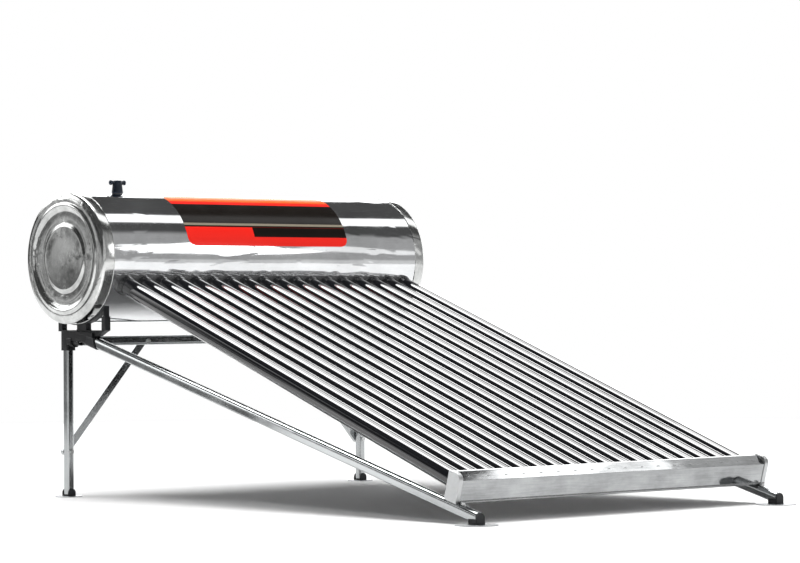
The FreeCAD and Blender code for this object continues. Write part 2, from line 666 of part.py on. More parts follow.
def saddle_bracket(side):
    """Moulded bracket: tank cradle on posts, leg socket, rail socket and bolt boss."""
    grip = LEG_SIZE + 2 * LEG_SOCKET_WALL
    leg_socket = bar(grip, grip, LEG_SOCKET_CORNER, DECK_TOP_Z - LEG_SOCKET_BOTTOM_Z)
    leg_socket = moved(leg_socket, 0, LEG_Y, LEG_SOCKET_BOTTOM_Z)
    mouth = rail_socket(RAIL_SOCKET_WALL + 1.5, RAIL_START + 25, RAIL_START + 120)
    sleeve = rail_socket(RAIL_SOCKET_WALL, RAIL_START - 34, RAIL_START + 60)
    upper = behind_axis(RAIL_SOCKET_END[0])
    lower = behind_axis(RAIL_SOCKET_END[1])
    below = LEG_SOCKET_BOTTOM_Z - 10
    slant = prism([V(-grip, upper, DECK_TOP_Z), V(-grip, lower, below),
                   V(-grip, lower - FAR, below), V(-grip, upper - FAR, DECK_TOP_Z)], V(2 * grip, 0, 0))
    half = grip / 2
    web = prism([V(-half, LEG_Y, DECK_BOTTOM_Z - 12), V(-half, upper, DECK_BOTTOM_Z - 22),
                 V(-half, upper, DECK_TOP_Z - 9), V(-half, LEG_Y, DECK_TOP_Z)], V(grip, 0, 0))
    socket = fuse([mouth, sleeve, web]).cut(slant)
    body = fuse([saddle_posts(), leg_socket, socket, bracket_boss()])
    leg_hole = moved(bar(LEG_SIZE, LEG_SIZE, LEG_CORNER, LEG_TOP_Z), 0, LEG_Y, 0)
    rail_hole = placed(moved(rail_bar(0, FAR), z=RAIL_START), RAIL_FRAME)
    boss_y = behind_axis(BOSS_BARREL_END)
    recess = rod(BOLT_HEAD * 0.75, V(0, boss_y - 1, BOSS_Z), V(0, boss_y + BOLT_RECESS, BOSS_Z))
    tank = along_x(SHELL_RADIUS, -FAR, FAR)
    body = body.cut([leg_hole, rail_hole, recess, tank])
    body = drilled(moved(body, x=FRAME_HALF_WIDTH))
    return body if side > 0 else mirror_x(body)


# ---- feet ----
def arched_plate(x, width, y0, y1, bottom, top):
    """Upright plate across Y with a half-round top edge."""
    arch_z = top - width / 2
    plate = box(x - width / 2, x + width / 2, y0, y1, bottom, arch_z)
    round_top = rod(width / 2, V(x, y0, arch_z), V(x, y1, arch_z))
    round_top = round_top.common(box(x - width, x + width, y0, y1, bottom, top + 1))
    return fuse([plate, round_top])


def front_foot(side):
    """Plastic foot: an arched end wall, a block under the rail and a plug inside it."""
    x = side * FRAME_HALF_WIDTH
    half = FRONT_FOOT_WIDTH / 2
    nose_y = FOOT_FRONT_Y + FRONT_FOOT_NOSE
    wall = arched_plate(x, RAIL_SIZE, FOOT_FRONT_Y, nose_y, FOOT_Z, FRONT_FOOT_TOP_Z)
    block = box(x - half, x + half, FOOT_FRONT_Y + 2, FOOT_BACK_Y, FOOT_Z, FRONT_FOOT_BLOCK_Z)
    plug_length = 90.0
    plug = placed(moved(rail_bar(WALL, plug_length), x, 0, RAIL_END - plug_length), RAIL_FRAME)
    plug = plug.common(box(x - half, x + half, FOOT_FRONT_Y, FOOT_BACK_Y + 20, FOOT_Z, FAR))
    return fuse([wall, block, plug])


def rear_foot(side):
    """Plastic foot under the leg: a base, two arched ears and a plug inside the leg."""
    x = side * FRAME_HALF_WIDTH
    half = REAR_FOOT_WIDTH / 2
    back = LEG_SIZE / 2
    base = box(x - half, x + half, LEG_Y - back - REAR_FOOT_EAR, LEG_Y + back + REAR_FOOT_EAR,
               FOOT_Z, FOOT_Z + REAR_FOOT_BASE)
    front_y = LEG_Y - back
    rear_y = LEG_Y + back
    ears = [arched_plate(x, REAR_FOOT_WIDTH, front_y - REAR_FOOT_EAR, front_y, FOOT_Z, REAR_FOOT_TOP_Z),
            arched_plate(x, REAR_FOOT_WIDTH, rear_y, rear_y + REAR_FOOT_EAR, FOOT_Z, REAR_FOOT_TOP_Z)]
    size = LEG_SIZE - 2 * WALL
    plug = moved(bar(size, size, LEG_CORNER - WALL, REAR_FOOT_TOP_Z - FOOT_Z), x, LEG_Y, FOOT_Z)
    return fuse([base, plug] + ears)


def foot_disc(radius, x, y):
    """Flat sheet disc with an eased rim, countersunk from below for the foot screw it swivels on."""
    play = 0.08
    hole = FOOT_SCREW_RADIUS + play
    points = [(hole, DISC_SHEET), (radius - 0.6, DISC_SHEET), (radius, DISC_SHEET - 0.6), (radius, 0),
              (FOOT_SCREW_HEAD + play, 0)]
    return revolved(points, V(x, y, 0), V(0, 0, 1))


def foot_places():
    places = [(side * FRAME_HALF_WIDTH, FRONT_FOOT_Y) for side in (-1, 1)]
    return places + [(side * FRAME_HALF_WIDTH, LEG_Y) for side in (-1, 1)]


def foot_screws():
    """Countersunk screws from below, through each disc into its foot."""
    screws = []
    sink = 0.2
    for x, y in foot_places():
        head = Part.makeCone(FOOT_SCREW_HEAD - sink, FOOT_SCREW_RADIUS, DISC_SHEET - sink, V(x, y, sink))
        shank = rod(FOOT_SCREW_RADIUS, V(x, y, sink), V(x, y, FOOT_Z + 9))
        screws.append(fuse([head, shank]))
    return screws


def with_screw_holes(shape):
    holes = [rod(FOOT_SCREW_RADIUS, V(x, y, 0), V(x, y, FOOT_Z + 9)) for x, y in foot_places()]
    return shape.cut(holes)


# ---- vent and pipes ----
def vent_stem():
    tube = vent_rod(VENT_STEM_RADIUS, INNER_RADIUS - 6, VENT_BASE_Z + VENT_STEM_HEIGHT)
    return tube.cut(vent_rod(VENT_STEM_RADIUS - 2, INNER_RADIUS - 7, VENT_BASE_Z + VENT_STEM_HEIGHT + 1))


def vent_washer():
    """Rubber washer between the shell and the vent cap."""
    washer = vent_rod(VENT_RADIUS - 1, SHELL_RADIUS - 5, VENT_BASE_Z)
    washer = washer.cut(vent_rod(VENT_STEM_RADIUS + 0.05, SHELL_RADIUS - 6, VENT_BASE_Z + 1))
    return washer.cut(along_x(SHELL_RADIUS, VENT_X - VENT_RADIUS, VENT_X + VENT_RADIUS))


def vent_cap():
    """Hand-turned vent cap with two hollow lugs and a domed top."""
    base = V(VENT_X, TANK_Y, TANK_AXIS_Z + VENT_BASE_Z + DISC_GAP)
    r = VENT_RADIUS
    h = VENT_HEIGHT
    outline = [(0, 0), (r, 0), (r, 4), (r - 2.5, h * 0.55), (r - 2.5, h - 8), (r - 6, h - 2), (0, h)]
    body = revolved(outline, base, V(0, 0, 1))
    lug_z = h - 9
    half = VENT_LUG_SPAN / 2
    level = base + V(0, 0, lug_z)
    lug = rod(VENT_LUG_RADIUS, level - V(half, 0, 0), level + V(half, 0, 0))
    rims = [rod(VENT_LUG_RIM, level + V(s * half, 0, 0), level + V(s * (half - 4), 0, 0)) for s in (-1, 1)]
    airway = rod(VENT_AIRWAY, level - V(half + 1, 0, 0), level + V(half + 1, 0, 0))
    well = vent_rod(VENT_STEM_RADIUS + 0.08, VENT_BASE_Z - 1, VENT_BASE_Z + VENT_STEM_HEIGHT + 2)
    chimney = vent_rod(VENT_AIRWAY, VENT_BASE_Z, VENT_BASE_Z + lug_z)
    return fuse([body, lug] + rims).cut([airway, well, chimney])


def port(side):
    """Nipple of the inner tank: a plain pipe, then a thread for a 3/4 inch fitting."""
    plain = port_rod(side, PORT_COLLAR_RADIUS, INNER_RADIUS - 8, PORT_REACH - PORT_THREAD)
    thread = port_rod(side, PORT_RADIUS, PORT_REACH - PORT_THREAD, PORT_REACH)
    return fuse([plain, thread]).cut(port_rod(side, PORT_BORE, INNER_RADIUS - 9, PORT_REACH + 1))


def port_bushings():
    """Rubber bushings that close the shell round the nipples."""
    rings = []
    for side in (-1, 1):
        inner = port_rod(side, PORT_COLLAR_RADIUS + 3, SHELL_RADIUS - 12, SHELL_RADIUS + 4)
        flange = port_rod(side, PORT_COLLAR_RADIUS + 8, SHELL_RADIUS - 12, SHELL_RADIUS + 4)
        flange = flange.cut(along_x(SHELL_RADIUS, -FAR, FAR))
        bore = port_rod(side, PORT_COLLAR_RADIUS + 0.05, SHELL_RADIUS - 20, SHELL_RADIUS + 20)
        rings.append(fuse([inner, flange]).cut(bore))
    return rings


# ---- everything, by node name ----
def build():
    nodes = {
        "tank_shell": tank_shell(),
        "tank_end_cap_left": end_cap(-1),
        "tank_end_cap_right": end_cap(1),
        "tank_insulation": tank_insulation(),
        "inner_tank": inner_tank(),
        "tank_label": tank_label(),
        "tube_seals": at_x(tube_seal()),
        "dust_rings": at_x(dust_ring()),
        "getter_clips": at_tubes(getter_clip()),
        "tube_tail_cups": at_tubes(tail_cup()),
        "tail_tray": tail_tray(),
        "tray_bolts": tray_bolts(),
        "rear_crossbar": rear_crossbar(),
        "frame_bolts": frame_bolts(),
        "frame_nuts": frame_nuts(),
        "foot_screws": foot_screws(),
        "vent_stem": vent_stem(),
        "vent_washer": vent_washer(),
        "vent_cap": vent_cap(),
        "cold_inlet": port(-1),
        "hot_outlet": port(1),
        "port_bushings": port_bushings(),
    }
    for number, tube in enumerate(at_tubes(vacuum_tube()), 1):
        nodes[f"vacuum_tube_{number:02d}"] = tube
    for side, name in ((-1, "left"), (1, "right")):
        nodes[f"tray_end_{name}"] = tray_end(side)
        nodes[f"side_rail_{name}"] = side_rail(side)
        nodes[f"rear_leg_{name}"] = rear_leg(side)
        nodes[f"rear_brace_{name}"] = rear_brace(side)
        nodes[f"saddle_bracket_{name}"] = saddle_bracket(side)
        nodes[f"front_foot_{name}"] = with_screw_holes(front_foot(side))
        nodes[f"rear_foot_{name}"] = with_screw_holes(rear_foot(side))
        x = side * FRAME_HALF_WIDTH
        nodes[f"front_foot_disc_{name}"] = foot_disc(FRONT_DISC_RADIUS, x, FRONT_FOOT_Y)
        nodes[f"rear_foot_disc_{name}"] = foot_disc(REAR_DISC_RADIUS, x, LEG_Y)
    return nodes


os.makedirs("parts", exist_ok=True)
for node, made in build().items():
    shape = Part.makeCompound(made) if isinstance(made, list) else made
    shape.exportStep(f"parts/{node}.step")
    print(f"{node:24s} solids {len(shape.Solids):3d}  valid {shape.isValid()}  volume {shape.Volume:12.0f}")
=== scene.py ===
import math

import bpy
from mathutils import Matrix, Vector


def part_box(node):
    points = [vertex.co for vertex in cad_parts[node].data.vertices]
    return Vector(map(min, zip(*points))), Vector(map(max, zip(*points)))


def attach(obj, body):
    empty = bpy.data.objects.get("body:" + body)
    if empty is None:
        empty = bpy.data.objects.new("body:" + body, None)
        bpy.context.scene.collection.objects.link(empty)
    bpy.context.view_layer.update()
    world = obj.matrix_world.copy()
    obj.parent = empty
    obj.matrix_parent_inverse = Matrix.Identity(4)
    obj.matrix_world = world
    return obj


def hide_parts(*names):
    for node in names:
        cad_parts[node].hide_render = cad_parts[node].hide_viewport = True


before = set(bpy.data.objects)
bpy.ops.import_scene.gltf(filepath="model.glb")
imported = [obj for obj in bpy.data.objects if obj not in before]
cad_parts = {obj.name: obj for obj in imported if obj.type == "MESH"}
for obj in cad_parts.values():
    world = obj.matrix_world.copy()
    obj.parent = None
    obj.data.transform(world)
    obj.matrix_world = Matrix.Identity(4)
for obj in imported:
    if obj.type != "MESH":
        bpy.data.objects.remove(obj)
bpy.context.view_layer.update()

# ---- driving values, in metres and degrees ----
TUBE_SLOPE = math.radians(20.0)
TUBE_RADIUS = 0.029
TUBE_LENGTH = 1.800
TUBE_COUNT = 18
ROUND_STEPS = 256            # segments round the tank
TUBE_STEPS = 64              # segments round a glass tube
TUBE_STATIONS = 24           # segments along it
MOUTH_LIP = 0.002            # bevel at the mouth of a tube
SHEET = 0.0008               # thickness of the polished sheet

# label on the shell: angles about the tank axis, 0 level in front, 90 at the top
LABEL_TOP = math.radians(76.0)
LABEL_BOTTOM = math.radians(11.0)
LABEL_CORNER = 0.030
LABEL_PROUD = 0.0003         # outer face above the sheet
LABEL_GAP = 0.00005          # inner face above the sheet
BLACK_FROM = math.radians(29.0)
BLACK_TO = math.radians(57.5)
ORANGE_FROM = math.radians(63.0)
TAB_FROM = math.radians(19.5)
TAB_X = -0.062               # left end of the lower black tab
STRIPE_FROM = math.radians(30.6)
STRIPE_TO = math.radians(33.0)
PRINT_EDGE = 0.004           # softness of a printed edge, radians

# pressed end cap
CAP_DROP = 0.013             # fall of the rounded edge from the face to the wall
CAP_CORNER = 0.034           # its reach in from the wall
CAP_BEAD = 0.176             # radius of the outer bead
CAP_BEAD_ROUND = 0.0085      # radius of the bead's own section
CAP_BEAD_HEIGHT = 0.004      # how far the bead stands above the face
CAP_DISC = 0.108             # radius of the disc in the middle
CAP_DOME = 0.0024            # rise of the disc
HEM_ROUND = 0.0012           # radius of the folded hem
CORNER_STEPS = 12
DOME_STEPS = 24
BEAD_TO_DISH = (             # radius from the bead and depth below the face
    (-0.009, 0.001), (-0.014, 0.0027), (-0.022, 0.0042), (-0.032, 0.005))
DISH_TO_DISC = (             # radius from the disc and depth below the face
    (0.012, 0.005), (0.007, 0.0044), (0.003, 0.0022), (0.0, 0.0006), (-0.004, 0.0))
INSIDE_FROM = 20             # outline point from which the inside follows the outside
WALL_TOP = 12                # outline point just above the straight wall
WALL_FIT = 0.0001            # slack of the inside face round the shell

# studio
FLOOR_RADIUS = 7.0
FLAG_DROP = 0.10             # how far the shadow flag hangs below the tubes
CAMERA_PLACE = (-6.954, -8.6425, 0.6465)     # y is from the tank axis
CAMERA_AZIMUTH = math.radians(41.85)
CAMERA_PITCH = math.radians(0.366)
CAMERA_ROLL = math.radians(-0.323)
CAMERA_LENS = 143.5          # millimetres
CAMERA_SENSOR = 36.0         # millimetres
SUN_ENERGY = 3.75
SUN_ANGLE = math.radians(50.0)
SUN_DIRECTION = (0.04, -0.16, -1.0)

SHELL_LOW, SHELL_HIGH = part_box("tank_shell")
AXIS_Y = (SHELL_LOW.y + SHELL_HIGH.y) / 2
LEFT_CAP_LOW, LEFT_CAP_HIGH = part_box("tank_end_cap_left")
AXIS_Z = (LEFT_CAP_LOW.z + LEFT_CAP_HIGH.z) / 2
SHELL_RADIUS = SHELL_HIGH.z - AXIS_Z
HEM_RADIUS = LEFT_CAP_HIGH.z - AXIS_Z
CAP_FACE_X = -LEFT_CAP_LOW.x - CAP_BEAD_HEIGHT
SKIRT_X = -LEFT_CAP_HIGH.x


# ---- node helpers ----
class Nodes:
    """Short names for building one node tree."""

    def __init__(self, tree):
        self.tree = tree
        tree.nodes.clear()

    def add(self, kind, **settings):
        node = self.tree.nodes.new(kind)
        for key, value in settings.items():
            setattr(node, key, value)
        return node

    def link(self, source, target):
        self.tree.links.new(source, target)

    def fill(self, socket, value):
        if isinstance(value, bpy.types.NodeSocket):
            self.link(value, socket)
        else:
            socket.default_value = value

    def math(self, operation, a, b=0.0):
        node = self.add("ShaderNodeMath", operation=operation)
        self.fill(node.inputs[0], a)
        self.fill(node.inputs[1], b)
        return node.outputs[0]

    def noise(self, vector, scale, detail=2.0, roughness=0.5):
        node = self.add("ShaderNodeTexNoise")
        self.link(vector, node.inputs["Vector"])
        node.inputs["Scale"].default_value = scale
        node.inputs["Detail"].default_value = detail
        node.inputs["Roughness"].default_value = roughness
        return node.outputs["Fac"]

    def stretched(self, vector, scale):
        node = self.add("ShaderNodeMapping")
        self.link(vector, node.inputs["Vector"])
        node.inputs["Scale"].default_value = scale
        return node.outputs["Vector"]

    def remap(self, value, low, high, new_low, new_high):
        node = self.add("ShaderNodeMapRange")
        self.fill(node.inputs["Value"], value)
        node.inputs["From Min"].default_value = low
        node.inputs["From Max"].default_value = high
        node.inputs["To Min"].default_value = new_low
        node.inputs["To Max"].default_value = new_high
        return node.outputs["Result"]

    def step(self, value, edge, soft):
        """0 below edge, 1 above it, with a soft transition."""
        node = self.add("ShaderNodeMapRange", interpolation_type="SMOOTHSTEP")
        self.fill(node.inputs["Value"], value)
        node.inputs["From Min"].default_value = edge - soft
        node.inputs["From Max"].default_value = edge + soft
        return node.outputs["Result"]

    def mix(self, factor, a, b):
        node = self.add("ShaderNodeMix", data_type="RGBA")
        self.fill(node.inputs[0], factor)
        self.fill(node.inputs[6], a)
        self.fill(node.inputs[7], b)
        return node.outputs[2]

    def bump(self, height, strength, distance, normal=None):
        node = self.add("ShaderNodeBump")
        self.fill(node.inputs["Height"], height)
        node.inputs["Strength"].default_value = strength
        node.inputs["Distance"].default_value = distance
        if normal is not None:
            self.link(normal, node.inputs["Normal"])
        return node.outputs["Normal"]

    def rounded(self, radius):
        node = self.add("ShaderNodeBevel", samples=4)
        node.inputs["Radius"].default_value = radius
        return node.outputs["Normal"]

    def place(self):
        return self.add("ShaderNodeTexCoord").outputs["Object"]


def material(name):
    made = bpy.data.materials.new(name)
    made.use_nodes = True
    nodes = Nodes(made.node_tree)
    shader = nodes.add("ShaderNodeBsdfPrincipled")
    out = nodes.add("ShaderNodeOutputMaterial")
    nodes.link(shader.outputs[0], out.inputs[0])
    return made, nodes, shader


# ---- materials ----
def polished_steel(name, tint, rough, wave, brush_scale, edge=None, mottle=0.12):
    """Mirror-polished sheet: slow waves, shallow dents, fine rolling lines and smears."""
    made, n, s = material(name)
    place = n.place()
    smear = n.noise(n.stretched(place, (3.0, 5.0, 5.0)), scale=2.2, detail=5.0, roughness=0.65)
    lines = n.noise(n.stretched(place, brush_scale), scale=1.0, detail=3.0, roughness=0.6)
    tone = n.math("ADD", n.remap(smear, 0.32, 0.68, 0.0, 0.7), n.remap(lines, 0.3, 0.7, 0.0, 0.3))
    darkest = [c * (1 - 2 * mottle) for c in tint] + [1]
    s.inputs["Metallic"].default_value = 1.0
    n.link(n.mix(tone, darkest, list(tint) + [1]), s.inputs["Base Color"])
    n.link(n.math("ADD", n.remap(smear, 0.35, 0.75, rough * 0.6, rough * 1.7),
                  n.remap(lines, 0.4, 0.8, 0.0, rough)), s.inputs["Roughness"])
    base = n.rounded(edge) if edge else None
    waves = n.noise(n.stretched(place, (1.0, 1.6, 1.6)), scale=3.2, detail=1.0, roughness=0.4)
    dents = n.noise(n.stretched(place, (4.0, 9.0, 9.0)), scale=1.6, detail=2.0, roughness=0.5)
    dents = n.remap(dents, 0.56, 0.74, 0.0, 1.0)
    normal = n.bump(waves, strength=wave, distance=0.01, normal=base)
    normal = n.bump(dents, strength=wave, distance=0.003, normal=normal)
    normal = n.bump(lines, strength=0.05, distance=0.0004, normal=normal)
    n.link(normal, s.inputs["Normal"])
    return made


def brushed_steel(name, tint, rough, edge=0.0006):
    """Plated or brushed hardware with fine scratches."""
    made, n, s = material(name)
    place = n.place()
    grain = n.noise(n.stretched(place, (60.0, 900.0, 60.0)), scale=1.0, detail=4.0, roughness=0.7)
    patch = n.noise(place, scale=35.0, detail=3.0, roughness=0.6)
    s.inputs["Metallic"].default_value = 1.0
    n.link(n.mix(patch, [c * 0.8 for c in tint] + [1], list(tint) + [1]), s.inputs["Base Color"])
    n.link(n.remap(grain, 0.3, 0.7, rough * 0.7, rough * 1.4), s.inputs["Roughness"])
    n.link(n.bump(grain, strength=0.2, distance=0.0003, normal=n.rounded(edge)), s.inputs["Normal"])
    return made


def coated_glass():
    """Black absorber seen through clear glass: a dark, faintly blue body under a glossy coat."""
    made, n, s = material("coated_glass")
    place = n.place()
    film = n.noise(n.stretched(place, (30.0, 2.0, 2.0)), scale=1.0, detail=3.0, roughness=0.6)
    dust = n.noise(place, scale=260.0, detail=2.0, roughness=0.7)
    deep, pale = (0.0035, 0.0038, 0.0048, 1), (0.006, 0.0065, 0.009, 1)
    s.inputs["Metallic"].default_value = 0.0
    n.link(n.mix(film, deep, pale), s.inputs["Base Color"])
    n.link(n.remap(dust, 0.3, 0.8, 0.03, 0.09), s.inputs["Roughness"])
    s.inputs["IOR"].default_value = 1.52
    s.inputs["Specular IOR Level"].default_value = 0.2
    s.inputs["Coat Weight"].default_value = 1.0
    s.inputs["Coat Roughness"].default_value = 0.015
    s.inputs["Coat IOR"].default_value = 1.52
    drawn = n.noise(n.stretched(place, (6.0, 0.6, 0.6)), scale=1.0, detail=1.0, roughness=0.4)
    n.link(n.bump(drawn, strength=0.02, distance=0.002), s.inputs["Normal"])
    return made


def black_rubber():
    """Glossy black rubber with a faint bloom and a fine grain."""
    made, n, s = material("black_rubber")
    place = n.place()
    bloom = n.noise(place, scale=70.0, detail=4.0, roughness=0.65)
    dark, light = (0.006, 0.006, 0.007, 1), (0.016, 0.017, 0.018, 1)
    n.link(n.mix(bloom, dark, light), s.inputs["Base Color"])
    n.link(n.remap(bloom, 0.3, 0.7, 0.08, 0.2), s.inputs["Roughness"])
    s.inputs["Specular IOR Level"].default_value = 0.9
    grain = n.noise(place, scale=900.0, detail=3.0, roughness=0.6)
    n.link(n.bump(grain, strength=0.15, distance=0.0004), s.inputs["Normal"])
    return made


def moulded_plastic(name, dark, light, rough):
    """Injection-moulded black plastic: fine spark grain, soft flow marks and rubbed edges."""
    made, n, s = material(name)
    place = n.place()
    flow = n.noise(n.stretched(place, (6.0, 6.0, 18.0)), scale=3.0, detail=3.0, roughness=0.6)
    grain = n.noise(place, scale=1400.0, detail=2.0, roughness=0.6)
    geometry = n.add("ShaderNodeNewGeometry")
    rubbed = n.step(geometry.outputs["Pointiness"], edge=0.56, soft=0.03)
    tone = n.mix(flow, list(dark) + [1], list(light) + [1])
    worn = [c * 3.0 for c in light] + [1]
    n.link(n.mix(n.math("MULTIPLY", rubbed, 0.5), tone, worn), s.inputs["Base Color"])
    n.link(n.remap(flow, 0.3, 0.7, rough * 0.8, rough * 1.2), s.inputs["Roughness"])
    s.inputs["Specular IOR Level"].default_value = 0.25
    edges = n.rounded(radius=0.0012)
    n.link(n.bump(grain, strength=0.18, distance=0.0003, normal=edges), s.inputs["Normal"])
    return made


def printed_label():
    """Generic printed film: orange top, black band with a tan stripe, red field, black tab."""
    made, n, s = material("printed_label")
    place = n.place()
    axes = n.add("ShaderNodeSeparateXYZ")
    n.link(place, axes.inputs[0])
    x = axes.outputs["X"]
    height = n.math("SUBTRACT", axes.outputs["Z"], AXIS_Z)
    forward = n.math("SUBTRACT", AXIS_Y, axes.outputs["Y"])
    turn = n.math("ARCTAN2", height, forward)
    red = (0.88, 0.022, 0.014, 1)
    orange = (0.95, 0.15, 0.022, 1)
    black = (0.006, 0.006, 0.005, 1)
    colour = n.mix(n.step(turn, BLACK_FROM, PRINT_EDGE), red, black)
    colour = n.mix(n.step(turn, BLACK_TO, PRINT_EDGE), colour, red)
    colour = n.mix(n.step(turn, ORANGE_FROM, soft=0.035), colour, orange)
    tab = n.math("MULTIPLY", n.step(x, TAB_X, soft=0.001), n.step(turn, TAB_FROM, PRINT_EDGE))
    tab = n.math("MULTIPLY", tab, n.math("SUBTRACT", 1.0, n.step(turn, BLACK_FROM, PRINT_EDGE)))
    colour = n.mix(tab, colour, black)
    stripe = n.math("MULTIPLY", n.step(turn, STRIPE_FROM, PRINT_EDGE),
                    n.math("SUBTRACT", 1.0, n.step(turn, STRIPE_TO, PRINT_EDGE)))
    colour = n.mix(n.math("MULTIPLY", stripe, 0.55), colour, (0.45, 0.40, 0.30, 1))
    ink = n.noise(place, scale=420.0, detail=3.0, roughness=0.6)
    specks = n.remap(ink, 0.35, 0.7, 0.0, 0.05)
    n.link(n.mix(specks, colour, (0.12, 0.03, 0.02, 1)), s.inputs["Base Color"])
    sheen = n.noise(place, scale=14.0, detail=3.0, roughness=0.6)
    n.link(n.remap(sheen, 0.3, 0.7, 0.14, 0.22), s.inputs["Roughness"])
    s.inputs["Specular IOR Level"].default_value = 0.12
    ripple = n.noise(place, scale=12.0, detail=2.0, roughness=0.5)
    n.link(n.bump(ripple, strength=0.05, distance=0.002), s.inputs["Normal"])
    return made


def plain_foam(name, low, high, scale):
    """Hidden foam or silicone: mottled, softly pitted."""
    made, n, s = material(name)
    cells = n.noise(n.place(), scale, detail=4.0, roughness=0.6)
    n.link(n.mix(cells, list(low) + [1], list(high) + [1]), s.inputs["Base Color"])
    n.link(n.remap(cells, 0.3, 0.7, 0.6, 0.85), s.inputs["Roughness"])
    n.link(n.bump(cells, strength=0.5, distance=0.001), s.inputs["Normal"])
    return made


TANK_STEEL = polished_steel(
    "tank_steel", tint=(0.80, 0.81, 0.82), rough=0.055, wave=0.22, brush_scale=(14.0, 900.0, 900.0))
CAP_STEEL = polished_steel(
    "cap_steel", tint=(0.76, 0.77, 0.76), rough=0.10, wave=0.3, brush_scale=(400.0, 30.0, 30.0),
    mottle=0.3)
TRAY_STEEL = polished_steel(
    "tray_steel", tint=(0.46, 0.47, 0.475), rough=0.08, wave=0.12,
    brush_scale=(10.0, 300.0, 300.0), edge=0.002, mottle=0.26)
TRAY_END_STEEL = polished_steel(
    "tray_end_steel", tint=(0.62, 0.63, 0.635), rough=0.3, wave=0.12,
    brush_scale=(30.0, 30.0, 30.0), edge=0.002, mottle=0.2)
FRAME_STEEL = polished_steel(
    "frame_steel", tint=(0.44, 0.455, 0.46), rough=0.09, wave=0.02,
    brush_scale=(120.0, 3.0, 3.0), edge=0.001, mottle=0.08)
DISC_STEEL = brushed_steel("disc_steel", tint=(0.30, 0.31, 0.32), rough=0.42)
BOLT_STEEL = brushed_steel("bolt_steel", tint=(0.70, 0.71, 0.71), rough=0.25)
INNER_STEEL = brushed_steel("inner_steel", tint=(0.62, 0.62, 0.61), rough=0.35)
GLASS = coated_glass()
RUBBER = black_rubber()
PLASTIC = moulded_plastic(
    "black_plastic", dark=(0.006, 0.0065, 0.007), light=(0.011, 0.0115, 0.0125), rough=0.42)
VENT_PLASTIC = moulded_plastic(
    "vent_plastic", dark=(0.006, 0.009, 0.016), light=(0.010, 0.015, 0.026), rough=0.35)
CUP_PLASTIC = moulded_plastic(
    "cup_plastic", dark=(0.03, 0.03, 0.03), light=(0.05, 0.05, 0.05), rough=0.5)
LABEL = printed_label()
FOAM = plain_foam("foam", low=(0.70, 0.60, 0.36), high=(0.85, 0.76, 0.50), scale=90.0)
SILICONE = plain_foam("silicone", low=(0.55, 0.54, 0.50), high=(0.70, 0.69, 0.66), scale=60.0)

# the look of every CAD node that no piece replaces; some of them are inside the heater
NODE_MATERIALS = {
    "tank_insulation": FOAM,
    "inner_tank": INNER_STEEL,
    "tube_seals": SILICONE,
    "dust_rings": RUBBER,
    "getter_clips": BOLT_STEEL,
    "tube_tail_cups": CUP_PLASTIC,
    "tail_tray": TRAY_STEEL,
    "tray_end_left": TRAY_END_STEEL,
    "tray_end_right": TRAY_END_STEEL,
    "tray_bolts": BOLT_STEEL,
    "side_rail_left": FRAME_STEEL,
    "side_rail_right": FRAME_STEEL,
    "rear_leg_left": FRAME_STEEL,
    "rear_leg_right": FRAME_STEEL,
    "rear_crossbar": FRAME_STEEL,
    "rear_brace_left": FRAME_STEEL,
    "rear_brace_right": FRAME_STEEL,
    "saddle_bracket_left": PLASTIC,
    "saddle_bracket_right": PLASTIC,
    "frame_bolts": BOLT_STEEL,
    "frame_nuts": BOLT_STEEL,
    "foot_screws": BOLT_STEEL,
    "front_foot_left": PLASTIC,
    "front_foot_right": PLASTIC,
    "rear_foot_left": PLASTIC,
    "rear_foot_right": PLASTIC,
    "front_foot_disc_left": DISC_STEEL,
    "front_foot_disc_right": DISC_STEEL,
    "rear_foot_disc_left": DISC_STEEL,
    "rear_foot_disc_right": DISC_STEEL,
    "vent_stem": INNER_STEEL,
    "vent_washer": RUBBER,
    "vent_cap": VENT_PLASTIC,
    "cold_inlet": INNER_STEEL,
    "hot_outlet": INNER_STEEL,
    "port_bushings": RUBBER,
}


def dress_nodes():
    for name, look in NODE_MATERIALS.items():
        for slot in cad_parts[name].material_slots:
            slot.material = look


# ---- mesh helpers ----
def add_mesh(name, vertices, faces, look, smooth_angle=35.0):
    mesh = bpy.data.meshes.new(name)
    mesh.from_pydata(vertices, [], faces)
    mesh.validate()
    obj = bpy.data.objects.new(name, mesh)
    bpy.context.scene.collection.objects.link(obj)
    mesh.materials.append(look)
    for face in mesh.polygons:
        face.use_smooth = True
    mesh.set_sharp_from_angle(angle=math.radians(smooth_angle))
    return obj


def lathe(name, outline, to_world, steps, look, smooth_angle=35.0):
    """Turns a closed (radius, height) outline about local Z. Points at radius 0 become one pole."""
    vertices, rings = [], []
    for radius, height in outline:
        if radius < 1e-7:
            rings.append([len(vertices)])
            vertices.append(to_world @ Vector((0, 0, height)))
            continue
        rings.append(list(range(len(vertices), len(vertices) + steps)))
        for i in range(steps):
            a = 2 * math.pi * i / steps
            vertices.append(to_world @ Vector((radius * math.cos(a), radius * math.sin(a), height)))
    faces = []
    for ring, after in zip(rings, rings[1:] + rings[:1]):
        if len(ring) == 1 and len(after) == 1:
            continue
        for i in range(steps):
            j = (i + 1) % steps
            if len(ring) == 1:
                faces.append((ring[0], after[j], after[i]))
            elif len(after) == 1:
                faces.append((ring[i], ring[j], after[0]))
            else:
                faces.append((ring[i], ring[j], after[j], after[i]))
    return add_mesh(name, vertices, faces, look, smooth_angle)


def arc(centre, radius, start, end, steps):
    """Points (radius, height) along a round stretch of an outline; angles in degrees."""
    points = []
    for i in range(steps + 1):
        a = math.radians(start + (end - start) * i / steps)
        points.append((centre[0] + radius * math.cos(a), centre[1] + radius * math.sin(a)))
    return points


